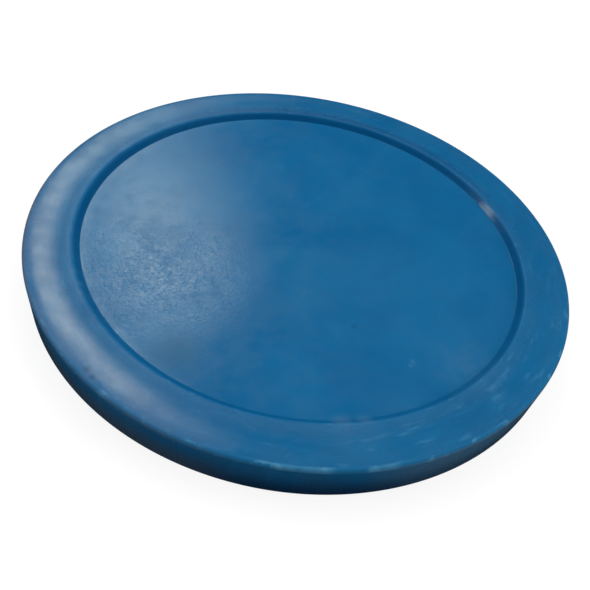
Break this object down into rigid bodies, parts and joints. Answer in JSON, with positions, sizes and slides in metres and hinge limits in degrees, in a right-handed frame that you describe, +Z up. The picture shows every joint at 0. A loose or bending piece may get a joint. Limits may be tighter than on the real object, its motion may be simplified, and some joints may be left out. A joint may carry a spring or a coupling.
{
  "type": "air hockey puck",
  "caption": "Blue moulded plastic air-hockey puck: a thin disc with a raised rounded rim and a shallow flat recess on both faces.",
  "frame": {"origin": "centre of the plane that the lower rim rests on", "axes": "+Z up along the puck's axis of symmetry, from the lower face to the upper face; X and Y lie in the resting plane, and any turn about Z is alike"},
  "size_m": [0.0826, 0.0826, 0.0063],
  "materials": {
    "blue_plastic": "satin"
  },
  "bodies": {
    "root": {"puck_body": "blue_plastic"}
  },
  "joints": []
}
